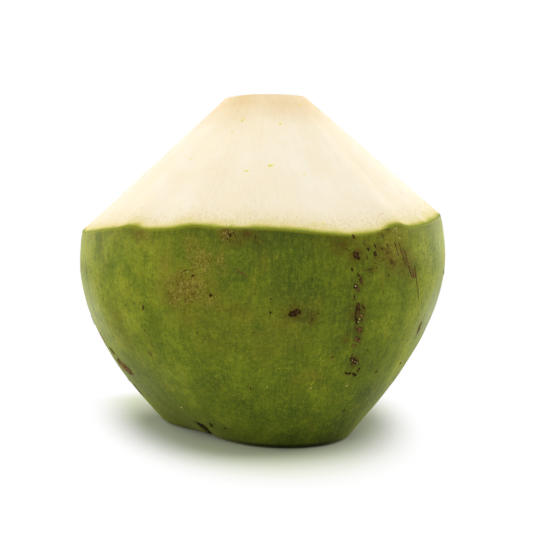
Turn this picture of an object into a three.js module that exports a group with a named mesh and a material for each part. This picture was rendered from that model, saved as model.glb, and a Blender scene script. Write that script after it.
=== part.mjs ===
// Peeled coconut: a young green coconut whose top was pared to a cone with a knife.
// The tip of the cone and the foot are cut off flat, so the nut stands by itself.
// It grew as one piece and is one closed solid: green skin below the rim, bare husk above it.
// Millimetres and degrees, +Z up, standing on Z = 0.  The long paring stroke faces -Y.
import {
  BufferAttribute, BufferGeometry, Group, MathUtils, Mesh, MeshStandardMaterial, Vector3,
} from 'three';

// ---- driving dimensions ----
const HEIGHT = 138.5; // from the foot to the flat cut at the tip
const TIP_RADIUS = 17; // of the flat cut at the tip
const LEAN = 0.018; // sideways drift of the nut's middle, towards +X, for each mm of height

// Radius of the green body at each height, as [height, radius].
const BODY_PROFILE = [[0, 41.7], [14, 53.1], [30, 62.9], [48, 70.9], [66, 75.3], [80, 75.2], [94, 72.5]];

// Near the foot the round section turns into the nut's three blunt corners, drawn out to an oval.
const FOOT_BLEND_HEIGHT = 60; // above this the section is round
const FOOT_SHIFT = { x: 1.8, y: 8 }; // of the foot's middle from the nut's
const FOOT_CORNERS = { count: 3, swell: 4.4, angle: -76 };
const FOOT_OVAL = { count: 2, swell: 5.8, angle: 118 };

// A short crease runs up from the foot's edge, left of the front.
const CREASE = { angle: -133, width: 4, depth: 1.6, height: 9 };

// Height of the rim, where the paring strokes leave the skin, as [angle, height].
// Each stroke dips in its middle, and two strokes meet in a peak.
const RIM = [
  [-165, 82.9], [-150, 84.0], [-139, 85.2], [-131, 86.3], [-125, 85.1], [-117, 85.6], [-110, 86.8],
  [-102, 86.1], [-88, 85.8], [-76, 84.5], [-64, 83.2], [-55, 84.4], [-48, 87.0], [-41, 85.9],
  [-31, 87.0], [-19, 88.8], [-7, 90.2], [6, 88.6], [20, 87.2], [34, 88.9], [44, 86.6], [60, 85.2],
  [76, 86.2], [86, 87.8], [95, 85.7], [112, 84.2], [126, 84.9], [135, 86.9], [143, 84.8], [156, 83.2],
  [170, 84.3], [180, 84.2],
];

// ---- fineness of the surface ----
const COLUMNS = 120;
const SKIN_ROWS = 15;
const HUSK_ROWS = 4;

const SKIN_COLOUR = 0x6f7d2a;

/** Smooth curve through [place, value] knots; the slope at a knot comes from its neighbours. */
function smoothThrough(knots, place) {
  const last = knots.length - 1;
  const slope = (i) => {
    const before = knots[Math.max(i - 1, 0)];
    const after = knots[Math.min(i + 1, last)];
    return (after[1] - before[1]) / (after[0] - before[0]);
  };
  let i = 0;
  while (i < last - 1 && place > knots[i + 1][0]) i += 1;
  const span = knots[i + 1][0] - knots[i][0];
  const t = (place - knots[i][0]) / span;
  const fromValues = (1 + 2 * t) * (1 - t) ** 2 * knots[i][1] + t * t * (3 - 2 * t) * knots[i + 1][1];
  const fromSlopes = t * (1 - t) ** 2 * slope(i) + t * t * (t - 1) * slope(i + 1);
  return fromValues + fromSlopes * span;
}

/** The same knots continued a full turn either way, so that a curve round the nut closes. */
function roundTheNut(knots) {
  const turned = (degrees) => knots.map(([angle, value]) => [angle + degrees, value]);
  return [...turned(-360), ...knots, ...turned(360)];
}

const CLOSED_RIM = roundTheNut(RIM);

/** Rise and fall of a wave that has its peaks at wave.angle and swells the radius by wave.swell. */
function swell(wave, angle) {
  return wave.swell * Math.cos(wave.count * MathUtils.degToRad(angle - wave.angle));
}

/** 1 at the foot, falling smoothly to 0 at FOOT_BLEND_HEIGHT. */
function footShare(height) {
  return Math.max(1 - height / FOOT_BLEND_HEIGHT, 0) ** 2;
}

/** How far the crease draws the skin in. */
function creaseDepth(angle, height) {
  const across = MathUtils.euclideanModulo(angle - CREASE.angle + 180, 360) - 180;
  const fade = Math.max(1 - height / CREASE.height, 0) ** 2;
  return CREASE.depth * Math.exp(-((across / CREASE.width) ** 2)) * fade;
}

/** Middle of the nut's section at a height. */
function middle(height) {
  const share = footShare(height);
  return new Vector3(LEAN * height + FOOT_SHIFT.x * share, FOOT_SHIFT.y * share, height);
}

/** Point at a radius and an angle from the middle of the section. */
function around(radius, angle, height) {
  const turn = MathUtils.degToRad(angle);
  return middle(height).add(new Vector3(radius * Math.cos(turn), radius * Math.sin(turn), 0));
}

/** Point on the green skin. */
function skinPoint(angle, height) {
  const corners = footShare(height) * (swell(FOOT_CORNERS, angle) + swell(FOOT_OVAL, angle));
  const radius = smoothThrough(BODY_PROFILE, height) + corners - creaseDepth(angle, height);
  return around(radius, angle, height);
}

/** Ring of the skin; share runs from 0 at the foot's edge to 1 at the rim. */
function skinRing(angles, share) {
  return angles.map((angle) => skinPoint(angle, share * smoothThrough(CLOSED_RIM, angle)));
}

/** Ring of the pared husk, on straight lines from the rim, share 0, to the tip's edge, share 1. */
function huskRing(angles, share) {
  const rim = skinRing(angles, 1);
  return rim.map((point, i) => point.clone().lerp(around(TIP_RADIUS, angles[i], HEIGHT), share));
}

/** Closed surface from the foot's middle, up through the rings, to the tip's middle. */
function closedSurface(footMiddle, rings, tipMiddle) {
  const points = [footMiddle, ...rings.flat(), tipMiddle];
  const columns = rings[0].length;
  const place = (ring, column) => 1 + ring * columns + (column % columns);
  const triangles = [];
  for (let column = 0; column < columns; column += 1) {
    triangles.push(0, place(0, column + 1), place(0, column));
    for (let ring = 0; ring < rings.length - 1; ring += 1) {
      const corner = place(ring, column);
      const opposite = place(ring + 1, column + 1);
      triangles.push(corner, place(ring, column + 1), opposite);
      triangles.push(corner, opposite, place(ring + 1, column));
    }
    triangles.push(points.length - 1, place(rings.length - 1, column), place(rings.length - 1, column + 1));
  }
  const geometry = new BufferGeometry();
  const numbers = new Float32Array(points.flatMap((point) => point.toArray()));
  geometry.setAttribute('position', new BufferAttribute(numbers, 3));
  geometry.setIndex(triangles);
  geometry.computeVertexNormals();
  return geometry;
}

/** The whole nut, with the middle of its bounding box over the origin. */
function nutGeometry() {
  const angles = Array.from({ length: COLUMNS }, (_, i) => -180 + (360 * i) / COLUMNS);
  const rings = [];
  for (let row = 0; row <= SKIN_ROWS; row += 1) rings.push(skinRing(angles, row / SKIN_ROWS));
  for (let row = 1; row <= HUSK_ROWS; row += 1) rings.push(huskRing(angles, row / HUSK_ROWS));
  const geometry = closedSurface(middle(0), rings, middle(HEIGHT));
  geometry.computeBoundingBox();
  const centre = geometry.boundingBox.getCenter(new Vector3());
  return geometry.translate(-centre.x, -centre.y, 0);
}

const skin = new MeshStandardMaterial({ color: SKIN_COLOUR, roughness: 0.45, metalness: 0 });
const nut = new Mesh(nutGeometry(), skin);
nut.name = 'coconut';

const coconut = new Group();
coconut.add(nut);

export default coconut;
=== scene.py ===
"""Peeled coconut: the finish of a young green coconut whose top was pared to a cone.

The packed solid gives the nut's place and size.  This file makes its fine surface, the fibres
of the bare husk, the bits of rind left on the cut, and the russet and corky marks of the skin.
"""
import math
from collections import namedtuple

import bpy
import numpy as np
from bpy.props import FloatProperty, FloatVectorProperty, IntProperty, PointerProperty
from mathutils import Euler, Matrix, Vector


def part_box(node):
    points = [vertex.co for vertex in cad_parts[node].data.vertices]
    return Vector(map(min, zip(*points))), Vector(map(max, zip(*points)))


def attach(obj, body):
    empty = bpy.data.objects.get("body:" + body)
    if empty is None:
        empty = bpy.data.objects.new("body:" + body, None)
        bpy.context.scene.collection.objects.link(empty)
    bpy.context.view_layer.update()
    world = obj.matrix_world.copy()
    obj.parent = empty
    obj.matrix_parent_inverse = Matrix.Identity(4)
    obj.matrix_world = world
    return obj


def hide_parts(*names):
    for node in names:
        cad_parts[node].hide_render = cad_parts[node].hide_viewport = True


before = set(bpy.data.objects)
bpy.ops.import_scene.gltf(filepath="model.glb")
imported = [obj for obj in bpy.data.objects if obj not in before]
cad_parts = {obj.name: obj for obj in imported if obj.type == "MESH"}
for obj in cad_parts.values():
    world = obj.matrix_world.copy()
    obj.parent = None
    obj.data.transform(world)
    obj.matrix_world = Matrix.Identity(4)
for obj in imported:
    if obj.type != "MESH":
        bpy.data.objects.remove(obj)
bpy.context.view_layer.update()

bl_info = {
    "name": "Peeled Coconut",
    "version": (1, 0, 0),
    "blender": (4, 5, 0),
    "location": "View3D > Sidebar > Coconut",
    "description": "Builds the finish of a peeled green coconut around its packed solid",
    "category": "Object",
}

NUT_NODE = "coconut"
NUT_BODY = "root"
NUT_PIECE = "green_coconut"
MM = 0.001

# ---- the nut's shape, in millimetres and degrees; 0 degrees is +X and -90 the front ----
NUT_LOW, NUT_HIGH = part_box(NUT_NODE)
HEIGHT = (NUT_HIGH.z - NUT_LOW.z) / MM
TIP_RADIUS = 17
TIP_DROOP = 0.7  # how much lower the left end of the tip's edge is than its middle
LEAN = 0.018  # how far the axis leans to the right, per height
BODY_PROFILE = [(0, 41.7), (14, 53.1), (30, 62.9), (48, 70.9), (66, 75.3), (80, 75.2), (94, 72.5)]
BODY_RADIUS = 75
FOOT_BLEND_HEIGHT = 60  # from here up the section is round
FOOT_SHIFT = (1.8, 8)  # how far right and back the foot's middle lies
FOOT_CORNERS = (3, 4.4, -76)  # how many, how far they swell, angle of one of them
FOOT_OVAL = (2, 5.8, 118)
FOOT_ROUNDING = [(1.6, 0), (0.75, 0.3), (0.25, 0.8)]  # how far inside the outline, how high
FOOT_ROUNDING_TOP = 1.6  # how high the skin's own rings begin
CREASE_ANGLE = -128.6
CREASE_WIDTH = 3.0  # in degrees
CREASE_DEPTH = 3.4
CREASE_HEIGHT = 7
RIM = [
    (-165, 82.9), (-150, 84.0), (-139, 85.2), (-131, 86.3), (-125, 85.1), (-117, 85.6), (-110, 86.8),
    (-102, 86.1), (-88, 85.8), (-76, 84.5), (-64, 83.2), (-55, 84.4), (-48, 87.0), (-41, 85.9), (-31, 87.0),
    (-19, 88.8), (-7, 90.2), (6, 88.6), (20, 87.2), (34, 88.9), (44, 86.6), (60, 85.2), (76, 86.2), (86, 87.8),
    (95, 85.7), (112, 84.2), (126, 84.9), (135, 86.9), (143, 84.8), (156, 83.2), (170, 84.3), (180, 84.2),
]
# Where one paring stroke ends and the next begins: the peaks of the rim.
STROKE_EDGES = [-131, -110, -48, -7, 34, 86, 135, 172]
STROKE_START = 0.12  # share of the cone over which a stroke gets its depth
STROKE_FLATTENING = 0.75  # share of its depth that a stroke loses toward the tip

# ---- its mesh ----
FOOT_RINGS = 8
TIP_RINGS = 5
NEAR_RIM_ROWS = (0.6, 1.2, 1.8)  # how far down the husk the first rows lie from the rim
BEYOND_HUSK = 90.0  # what the tip's face has as its distance from the rim: more than any of the husk
UNDERSIDE_EDGE = 0.1  # what the edge of the underside has as its distance from the rim
SWELL_SIZE, RIB_SIZE = 24, 3.5
HUSK_WAVE_SIZE, FIBRE_SIZE = 12, 1.6
GRAIN_SHORTENING = 0.06  # makes ribs and fibres long: their noise runs this much slower along the grain

# ---- soft zones of the skin, as (angle, height, half width, half height, strength) ----
SCURF_ZONES = [
    (-111, 64.5, 9.5, 6.5, 1.0), (-114.5, 60, 5, 3.5, 0.8), (-107, 74, 5.5, 6, 0.75), (-110, 80, 3, 3.5, 0.6),
    (-117.5, 73.5, 4, 7.5, 0.45), (-104, 60.5, 7, 6, 0.5), (-101, 74, 3, 5, 0.45), (-126, 83, 4, 2.5, 0.5),
    (-90, 50, 26, 12, 0.22), (-76, 31, 8, 5, 0.25), (-50, 76, 8, 7, 0.5), (-140, 45, 8, 10, 0.3),
    (-100.3, 84, 2.2, 2.2, 0.9), (-97, 83, 2, 2, 0.4), (-110, 54, 10, 6, 0.3),
]
HAZE_ZONES = [
    (-99.5, 84, 3, 2.6, 1.1), (-94, 84.5, 2.5, 2.4, 0.9), (-97, 81, 3.6, 2.8, 0.55), (-92.5, 81, 5, 3.2, 0.45),
    (-128, 84, 3.5, 2, 0.5), (-68, 79.5, 5.5, 3.2, 0.75), (-63, 76, 4.5, 3.5, 0.9), (-60, 80.5, 4.5, 2.6, 0.6),
    (-53.5, 84.5, 6, 1.8, 0.75), (-54, 77, 6, 4.5, 0.85), (-51, 73, 3, 2.4, 1.0), (-58.5, 71, 3.4, 1.6, 0.8),
    (-42.5, 70, 4.5, 5.5, 0.6), (-48, 81.5, 4, 4.5, 0.35), (-60, 54, 2.6, 5.5, 0.7), (-76, 54, 3.8, 3.4, 0.55),
    (-80.5, 56, 4.5, 3.4, 0.8), (-63.5, 46, 2.4, 2.4, 0.75), (-113, 62, 8, 6, 0.35), (-97, 57, 6, 3, 0.35),
    (-104, 44, 8, 5, 0.25), (-60, 77, 12, 8, 0.3), (-45.5, 74, 3.5, 6, 0.7), (-66, 70, 8, 6, 0.2),
]
# Dark green zones: partly the skin's own younger green, partly painted shade on the low flanks, at the foot's
# corners and in the crease, where the skin meets the floor.
DEEP_GREEN_AND_SHADE_ZONES = [
    (-77, 54.5, 5, 4, 0.9), (-85, 76.5, 16, 10, 0.7), (-84, 84, 17, 3, 0.6), (-79.5, 66, 14.5, 9, 0.5),
    (-97, 69.5, 10.5, 9, 0.4), (-68, 12.5, 28, 6.5, 0.45), (-142, 8, 22, 9, 1.1), (-53.5, 36, 14, 6.5, 0.5),
    (-156, 14, 20, 14, 1.0), (-129, 4, 8, 6, 1.2), (-38, 33, 8, 8, 0.4), (-50, 5, 12, 6, 0.8),
    (-38, 11, 16, 9, 1.8), (-60.5, 27, 11.5, 6, 0.35), (-103, 23.5, 12.5, 5.5, 0.35), (-88, 48, 12, 10, 0.35),
    (-50, 21, 8, 5, 1.2), (-54, 3, 14, 5, 1.9), (-139, 3, 12, 5, 1.8), (-98, 21, 10, 4, 0.6),
    (-70, 84.5, 10, 3, 0.7), (-132, 14, 15, 7, 0.8), (-62, 10, 13, 5, 0.9), (-74, 53, 8, 6, 0.4),
]
# Yellow-green zones: partly the skin's own ripe colour, partly painted light on the left and right flanks,
# where the skin turns away from the front.
GOLD_AND_LIT_FLANK_ZONES = [
    (-150, 60, 14, 26, 0.95), (-149, 45, 12, 15, 0.6), (-28, 62, 17, 24, 1.0), (-33, 51, 16, 13, 0.95),
    (-52, 59, 10.5, 11.5, 0.4), (-108, 51, 14, 11.5, 0.5), (-66.5, 27.5, 19, 8.5, 0.3),
    (-120, 73, 11, 12, 0.75), (-47, 82.5, 14, 4, 0.6), (-170, 60, 20, 26, 0.9), (-34, 78, 14, 10, 0.8),
    (-15, 74, 16, 14, 1.0), (-45, 78, 8, 8, 0.5), (-51, 77, 6, 8, 0.6), (-154, 80, 9, 11, 0.9),
    (-139, 81, 12, 9, 1.1), (-133, 47, 10, 12, 0.5), (-39, 54, 9, 12, 0.6), (-160, 78, 17, 12, 1.2),
    (-108, 72, 9, 12, 0.45), (-139, 63, 12, 9, 0.85), (-98, 61, 13, 10, 0.6), (-117, 60, 16, 10, 0.65),
    (-116, 28, 14, 9, 0.65), (-147, 43, 7, 7, 1.2), (-33, 33, 9, 10, 1.5), (-90, 70, 12, 7, 0.4),
    (-46, 50, 14, 13, 0.5), (-106, 45, 18, 11, 0.45), (-84, 8, 20, 6, 0.35),
]
# Zones of the sides and the back: seed, how many, size; then from what to what their angle, their height,
# their half width and half height for a size of 1, and their strength go.
FAR_ZONES = {"scurf": (21, 9, 5), "haze": (22, 9, 4), "deep": (23, 10, 12), "gold": (24, 9, 16)}
FAR_ZONE_SPANS = ((-15, 200), (12, 80), (0.6, 1.8), (0.5, 1.3), (0.3, 0.9))

# ---- soft zones of the husk, likewise ----
TAN_ZONES = [
    (-118, 137, 30, 5, 0.45), (-112, 130, 16, 7, 0.3), (-74, 134, 30, 6, 0.24), (-45, 134, 24, 6, 0.22),
    (-85, 136.5, 40, 3, 0.2), (-93, 92, 8, 9, 0.2), (-110, 104, 9, 12, 0.2),
]
PALE_ZONES = [
    (-135, 108, 12, 12, 0.9), (-70, 108, 12, 11, 0.9), (-86, 118, 7, 9, 0.6), (-52, 110, 14, 12, 0.6),
    (-62, 97, 14, 7, 0.5), (-168, 108, 26, 26, 0.8), (-12, 104, 24, 22, 0.6), (20, 110, 25, 14, 0.7),
    (85, 105, 30, 12, 0.7), (150, 112, 22, 14, 0.7),
]

# ---- marks of the skin, as (angle, height, length, width, turn, paleness) ----
BROKEN_LINE = [
    (-64, 83, 1.8, 1.1, 10, 0.2), (-64.5, 71, 1.4, 1, 20, 0.1), (-62.5, 69, 1.6, 0.9, 20, 0.1),
    (-61.5, 67, 3, 1.3, 15, 0.35), (-63.2, 65, 1.7, 1.8, 20, 0), (-62.3, 63.7, 2.4, 1.3, 30, 0.55),
    (-63, 60.8, 2.2, 0.7, 10, 0.15), (-61.3, 57.3, 3, 1.7, 10, 0.3), (-61.8, 54.5, 6.4, 0.6, 3, 0.1),
    (-59.5, 57, 2.2, 1.1, 50, 0.35), (-60.7, 54.6, 2, 1.3, 30, 0.5), (-59.6, 53.8, 2, 1.5, 20, 0.6),
    (-61, 52, 2.4, 1.3, 15, 0.2), (-59.3, 52, 1.8, 1, 30, 0.4), (-61, 50, 1, 1.2, 50, 0.8),
    (-59.5, 48.5, 3, 2.2, 60, 0.55), (-60.3, 45.2, 2.2, 1.9, 50, 0.8), (-59, 44.3, 2.4, 1.7, 45, 0.7),
    (-61, 42.3, 1.1, 1.2, -85, 0.8), (-59.7, 42.3, 1.3, 1, 30, 0.6), (-60.3, 38.6, 1.4, 0.8, 83, 0.4),
    (-58.8, 36, 4.6, 2.2, 62, 0.1), (-61.2, 31.6, 1.4, 1.1, 60, 0), (-59.8, 31.4, 1.5, 1.1, 70, 0),
    (-57.5, 30.6, 3, 1.1, 65, 0), (-56.3, 32.5, 2, 1, -30, 0), (-64, 57.5, 0.6, 0.7, 70, 0.3),
    (-63.5, 47, 1, 0.5, 90, 0.2), (-54.5, 40, 0.9, 0.6, 40, 0.1),
]
RIGHT_PATCH = [
    (-63.3, 76, 3.6, 2.2, 45, 0.12), (-59.2, 78.2, 1.5, 1.1, 15, 0.15), (-57, 79.5, 1.7, 0.9, 20, 0.15),
    (-57, 76.5, 2.1, 1.4, 50, 0.1), (-59.8, 75.3, 0.8, 0.7, 30, 0.2), (-58.5, 71, 2, 0.7, 85, 0.35),
    (-56.5, 71.5, 0.9, 0.5, 20, 0.3), (-52, 68.5, 1.2, 0.8, 20, 0.3), (-51, 73, 1.6, 1, 40, 0.4),
    (-46.3, 69.5, 0.9, 0.7, 45, 0.6),
]
MIDDLE_SPOT = [
    (-80.6, 55.9, 3.2, 2.2, -78, 0.1), (-79.7, 56.2, 2.2, 1.8, -75, 0.1), (-81.6, 55.5, 2, 1.8, -80, 0),
    (-84, 57, 0.6, 0.6, 45, 0.4), (-82, 58.7, 0.5, 0.5, 45, 0.3), (-79.5, 58.2, 0.5, 0.5, 80, 0.3),
    (-78.5, 58.3, 0.4, 0.5, 60, 0.3), (-73.7, 55.3, 1, 0.5, -80, 0.3), (-75.3, 53.2, 1.2, 1.1, 60, 0.4),
    (-76, 51.8, 0.6, 0.6, 20, 0.4), (-77, 55.5, 0.6, 0.6, 65, 0.4), (-75.8, 56, 0.7, 0.4, 40, 0.4),
    (-77.3, 53.8, 0.5, 0.5, 0, 0.4), (-87.5, 61.2, 0.8, 0.7, 20, 0.3), (-87.4, 56.1, 1.1, 0.8, 20, 0.2),
]
UNDER_RIM = [
    (-98.8, 83.6, 1, 0.7, 20, 0), (-99.4, 82.4, 0.7, 0.5, 10, 0), (-97.9, 84.6, 1, 0.5, 10, 0.1),
    (-100.3, 85.2, 0.7, 0.5, 50, 0.9), (-101.2, 84.2, 0.8, 0.5, 60, 0.9), (-100, 83.2, 0.9, 0.5, 30, 1.0),
    (-99.6, 84.4, 0.7, 0.4, 0, 0.9),
]
LOWER_LEFT = [
    (-161, 30, 3.4, 4.5, 48, 1.6), (-158.5, 28.9, 6.5, 7, 45, 1.6), (-154.2, 27.6, 4, 5.5, 35, 1.3),
]
# Dark bits in the crease and along the foot's front edge: painted shade of the crease and of the foot's edge
# where it meets the floor; they are laid with the scars.
CREASE_SHADE_MARKS = [
    (-125.5, 5.6, 3, 2.2, 80, 0), (-128.5, 5.6, 3.4, 3, 0, 0), (-131, 5.6, 3, 3, -85, 0),
    (-129, 3.6, 3.8, 4.6, 0, 0), (-128.6, 1.8, 3.4, 4.4, 0, 0), (-130.6, 1.4, 2.6, 2.4, -40, 0),
    (-126.8, 3.6, 3, 1.6, 0, 0), (-117.3, 7.5, 2.4, 1.9, -75, 0), (-108.3, 7.3, 1, 1.1, 85, 0),
]
LOOSE_MARKS = [
    (-104, 62, 1.2, 1.2, 45, 0), (-109, 69, 1.9, 0.6, -38, 0.2), (-126.3, 56.4, 2.6, 0.9, -30, 0.3),
    (-128, 47.5, 0.5, 0.7, 5, 0.2), (-129.3, 38, 2.4, 0.7, -28, 1.0), (-93.5, 26.5, 1.7, 0.6, 5, 0.3),
    (-106.7, 47, 0.6, 0.7, 20, 0.6), (-106.7, 46, 1, 0.7, 60, 0.7), (-57.7, 15.5, 1.2, 1, -60, 0.2),
    (-47.2, 30.5, 1.4, 0.9, -50, 0.1), (-67.4, 38.6, 1.1, 1, 45, 0.6), (-30, 31.5, 1.8, 1, 80, 0.3),
    (-27.6, 46, 4.6, 1.4, 10, 0.7), (-92, 48.5, 0.8, 0.8, 0, 0.7),
]
SCARS_AND_CREASE_SHADE = BROKEN_LINE + RIGHT_PATCH + MIDDLE_SPOT + UNDER_RIM + LOWER_LEFT + CREASE_SHADE_MARKS + LOOSE_MARKS
# ---- scratches, as (angle, height, angle, height, width, paleness) from end to end ----
SCRATCHES = [
    (-49.8, 81, -48.8, 78, 0.8, 0.6), (-49, 78.5, -48, 75, 0.8, 0.8), (-47.9, 80.5, -47.1, 78, 0.6, 0.6),
    (-47.2, 78.5, -46.3, 75, 1, 0.8), (-46.5, 75.5, -45.2, 73, 0.8, 0.7), (-45.8, 77.5, -44.5, 75, 0.7, 0.7),
    (-44.9, 75, -43.7, 72, 1, 0.8), (-45.5, 73, -43.5, 71, 0.7, 0.8), (-43.7, 72, -42.1, 68, 1.1, 0.7),
    (-42.3, 68.5, -41, 66.5, 1.2, 0.8), (-40.7, 71.5, -40.1, 69, 0.8, 0.6), (-40.3, 69.5, -38.9, 66, 1, 0.7),
    (-41.7, 70.5, -40.2, 66.5, 1.1, 0.9), (-39.1, 66.5, -37.8, 63, 0.8, 0.8),
    (-37.8, 63.5, -35.6, 58, 0.6, 0.9), (-97.3, 71.8, -95.8, 70.7, 0.5, 0.9),
    (-95.9, 70.8, -94.5, 69.6, 0.7, 0.7), (-94.6, 69.6, -93.7, 68.6, 0.5, 1.1),
    (-97, 70.4, -96, 69.8, 0.4, 1.1),
]
# ---- thin brown lines, likewise ----
THIN_LINES = [
    (-54, 84, -53.7, 81.5, 0.4, 0.4), (-55.5, 79, -53, 77.5, 0.4, 0.5), (-53, 78, -51.5, 75, 0.4, 0.4),
    (-51.8, 75, -50.2, 72.5, 0.5, 0.4), (-54.6, 66, -53.6, 64, 0.4, 0.7), (-53.6, 64, -53, 61, 0.4, 0.7),
    (-56.6, 82, -55, 82.5, 0.3, 0.4), (-55.4, 73.5, -53.2, 74.5, 0.4, 0.4), (-58, 73.5, -56, 72.5, 0.3, 0.4),
    (-61.4, 80.5, -60, 79.5, 0.4, 0.4), (-53, 80.5, -52, 78.5, 0.4, 0.4), (-55.5, 85, -50, 85.4, 0.4, 0.5),
    (-66.8, 79, -64.7, 77.5, 0.4, 0.5), (-112.4, 70.5, -110.2, 71.2, 0.4, 0.5),
    (-99, 83, -98.7, 80.5, 0.35, 0.7), (-97.5, 84.5, -97.2, 82, 0.35, 0.7), (-95.2, 85, -94.8, 82, 0.4, 0.6),
    (-94, 84.5, -93.7, 82, 0.35, 0.9), (-96, 82.5, -95.8, 80, 0.3, 0.9), (-92, 84, -91.7, 82, 0.4, 0.8),
    (-99.5, 85.4, -99.2, 83.5, 0.5, 0.1), (-98.6, 85, -98.4, 82.5, 0.4, 0.3),
]
# ---- pale nicks of the skin, and pale bits that are painted glints, as (angle, height, length, width, turn, paleness) ----
NICKS_AND_GLINTS = [
    (-110.6, 70.4, 0.6, 0.5, 84, 1.0), (-49, 85.3, 0.7, 0.6, 58, 0.9), (-48.4, 84.2, 0.8, 0.7, 27, 0.9),
    (-49.7, 84.6, 0.5, 0.5, 60, 0.9), (-47.4, 82, 0.8, 0.6, 25, 0.9), (-48.5, 85.6, 0.5, 0.6, 45, 0.8),
    (-130.8, 14.5, 1.3, 1.3, 3, 0.9), (-59.8, 26.5, 1.4, 0.7, -60, 0.7), (-73.5, 26.7, 1.2, 0.6, -53, 0.6),
    (-85.3, 34, 1.9, 0.4, -10, -0.2), (-84.3, 35, 2.3, 0.4, -83, -0.2), (-82, 35, 1.8, 0.4, 87, -0.2),
    (-71.5, 38.3, 2, 0.4, 0, -0.2), (-71, 36, 2.4, 0.4, 24, -0.2), (-71, 33.7, 2.4, 0.4, -6, -0.2),
    (-63.2, 65.1, 0.9, 0.8, 42, 1.0), (-110.5, 66.4, 0.6, 0.4, 78, 0.5), (-73, 31.3, 2.5, 0.4, 27, -0.2),
    # The pale bits at -60 to -60.6 degrees and 51.6 to 54 mm are painted glints on the broken line of scars.
    (-73.2, 28.6, 3, 0.5, -22, -0.2), (-88, 27.4, 0.5, 0.8, 0, 0.9), (-60, 54, 0.7, 0.4, 30, 0.8),
    (-60.4, 52.7, 0.6, 0.5, 0, 0.8), (-60.6, 51.6, 0.8, 0.6, 0, 0.9), (-55.5, 51.5, 1, 0.5, 0, 0.2),
    (-60, 36.8, 1.1, 0.45, 62, 0.7), (-58.8, 36.1, 0.9, 0.5, 30, 0.7), (-57.7, 35.4, 1.1, 0.5, 62, 0.7),
]
# ---- bits of rind left on the pared husk, likewise ----
PEEL_FLECKS = [
    (-78.5, 126, 1.5, 1.6, 20, 0.1), (-107.5, 127.5, 2.2, 1.6, -30, 0.3), (-87, 109, 1.2, 2.9, 24, 0.2),
    (-97.5, 107, 0.9, 3.1, 0, 0.3), (-73, 105.5, 0.9, 0.9, 0, 0.5), (-72, 88, 0.8, 1.6, 10, 0.2),
    (-142, 127, 0.5, 1.1, 0, 0.5), (-48.5, 134.5, 1, 1.6, 0, 0.4), (-111.5, 122.5, 0.9, 1.2, 0, 0.5),
    (-116, 129.5, 0.6, 0.8, 0, 0.6), (-128, 112, 0.6, 1.4, 25, 0.7), (-102.5, 88.5, 0.8, 0.7, 0, 0.4),
]

# ---- marks of the sides and the back, placed at random from fixed seeds ----
FAR_SCARS = {"count": 60, "seed": 31, "biggest": 3.6, "palest": 0.6}
FAR_NICKS = {"count": 20, "seed": 32, "biggest": 1.4, "palest": 1.0}
MARKS_PER_CLUSTER = 5
CLUSTER_SPANS = ((-10, 205), (15, 78))  # angle and height of a cluster's middle
CLUSTER_SPREAD = 4
LOWEST_MARK, HIGHEST_MARK = 4, 80
FAR_FLECKS, FAR_FLECK_SEED = 14, 5
# From what to what a fleck's angle, height, length, width, turn and paleness go.
FAR_FLECK_SPANS = ((-20, 205), (90, 132), (0.5, 1.4), (0.5, 1.8), (-90, 90), (0.3, 0.8))

# ---- crumbs that make up a scar ----
CRUMB_SEED = 41
CRUMB_REACH = 1.05  # of the scar's own length and width
CRUMBS_PER_AREA = 2.5  # per square millimetre of the scar's box
FEWEST_CRUMBS, MOST_CRUMBS = 2, 14
CRUMB_PLACE = (-0.48, 0.48)  # over the length and the width, from the middle
CRUMB_LENGTH, CRUMB_WIDTH = (0.2, 0.5), (0.25, 0.6)  # shares of the scar's
CRUMB_TURN = 25
CRUMB_PALENESS = (0, 1.7)  # shares of the scar's

# ---- brown halos of the scars ----
HALO_MARGIN = 1
HALO_PER_SIZE, STRONGEST_HALO = 0.3, 0.8

# ---- the stage, in metres ----
LAMPS = {  # where each lamp hangs, and how wide it is
    "overhead": ((0, 0, 1.1), 1.0), "left": ((-0.9, 0, 0.5), 0.9), "right": ((0.8, 0, 0.6), 0.8),
    "front": ((-0.3, -1.0, 0.55), 0.9), "left_rim": ((-0.8, 0.6, 0.12), 0.8),
    "right_rim": ((0.8, 0.6, 0.12), 0.8),
}
LAMP_AIM_HEIGHT = 0.07
FLOOR_REACH = 6.0


def srgb(red, green, blue):
    """Linear colour, as Blender wants it, from the usual 0 to 255 levels."""
    levels = [level / 255 for level in (red, green, blue)]
    return [v / 12.92 if v <= 0.04045 else ((v + 0.055) / 1.055) ** 2.4 for v in levels]


def colour(name, description, *levels):
    """A colour that a user would change."""
    return FloatVectorProperty(
        name=name, description=description, subtype="COLOR", size=3, min=0, max=1, default=srgb(*levels)
    )


def length(name, description, default):
    """A length that a user would change; its default is in millimetres."""
    return FloatProperty(
        name=name, description=description, default=default * MM, min=0, precision=5,
        subtype="DISTANCE", unit="LENGTH",
    )


def number(name, description, default):
    """A plain number that a user would change."""
    return FloatProperty(name=name, description=description, default=default, min=0)


def whole(name, description, default, least, most=1000000):
    """A count that a user would change."""
    return IntProperty(name=name, description=description, default=default, min=least, max=most)


def lamp(name, description, power):
    """The power of a lamp, in watts."""
    return FloatProperty(name=name, description=description, default=power, min=0, unit="POWER")


# =========================== what a user would change ===========================


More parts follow.
